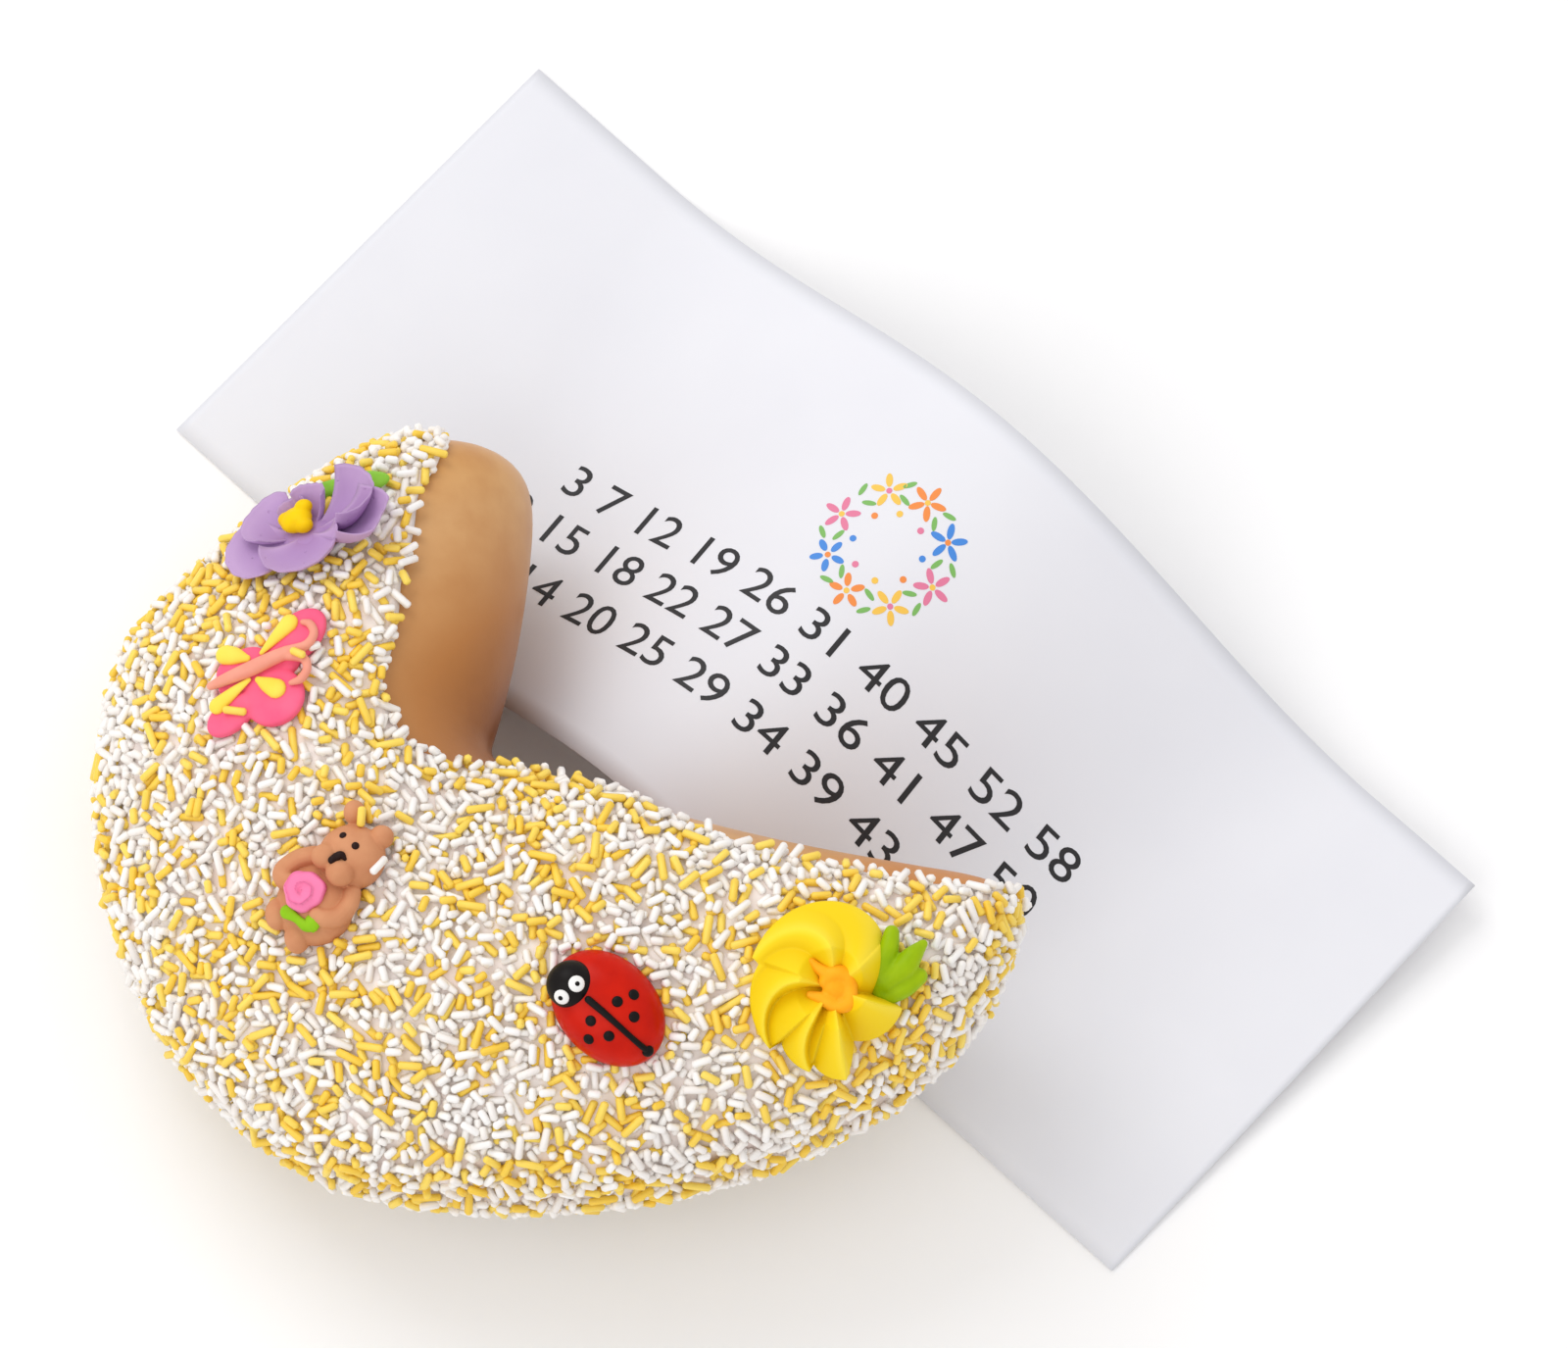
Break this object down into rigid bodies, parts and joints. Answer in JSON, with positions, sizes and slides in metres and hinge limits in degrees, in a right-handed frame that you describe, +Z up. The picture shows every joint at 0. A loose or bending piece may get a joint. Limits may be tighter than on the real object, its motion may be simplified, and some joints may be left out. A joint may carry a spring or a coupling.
{
  "type": "fortune cookie",
  "caption": "Large coated and sprinkled fortune cookie with piped icing flowers and animals on top and a paper slip lying under its two horns.",
  "frame": {"origin": "centre of the bounding box's underside, at the table the cookie and its slip lie on", "axes": "+X to the right of the picture along the longest side, +Y away from the viewer, +Z up"},
  "size_m": [0.2785, 0.2578, 0.0872],
  "materials": {
    "baked_wafer": "satin baked wafer",
    "white_coating": "matte white confectionery coating with sprinkles",
    "paper": "matte paper",
    "violet_icing": "matte dried icing",
    "gold_icing": "satin dried icing",
    "green_icing": "satin dried icing",
    "pink_icing": "satin dried icing",
    "peach_icing": "satin dried icing",
    "pale_yellow_icing": "satin dried icing",
    "tan_icing": "matte dried icing",
    "rose_icing": "satin dried icing",
    "black_icing": "satin dried icing",
    "red_icing": "satin dried icing",
    "white_icing": "satin dried icing",
    "yellow_icing": "satin dried icing",
    "orange_icing": "satin dried icing"
  },
  "bodies": {
    "root": {"baked_cookie": "baked_wafer", "bear": "tan_icing", "bear_leaf": "green_icing", "bear_rose": "rose_icing", "butterfly_body": "peach_icing", "butterfly_spot_1": "pale_yellow_icing", "butterfly_spot_2": "pale_yellow_icing", "butterfly_spot_3": "pale_yellow_icing", "butterfly_spot_4": "pale_yellow_icing", "butterfly_wings": "pink_icing", "drop_flower": "yellow_icing", "drop_flower_centre": "orange_icing", "drop_flower_leaf": "green_icing", "ladybug_eye_1": "white_icing", "ladybug_eye_2": "white_icing", "ladybug_head": "black_icing", "ladybug_line": "black_icing", "ladybug_shell": "red_icing", "ladybug_spot_1": "black_icing", "ladybug_spot_2": "black_icing", "ladybug_spot_3": "black_icing", "ladybug_spot_4": "black_icing", "ladybug_spot_5": "black_icing", "ladybug_spot_6": "black_icing", "message_slip": "paper", "violet_centre": "gold_icing", "violet_leaf": "green_icing", "violet_petals": "violet_icing", "white_coating": "white_coating"}
  },
  "joints": []
}
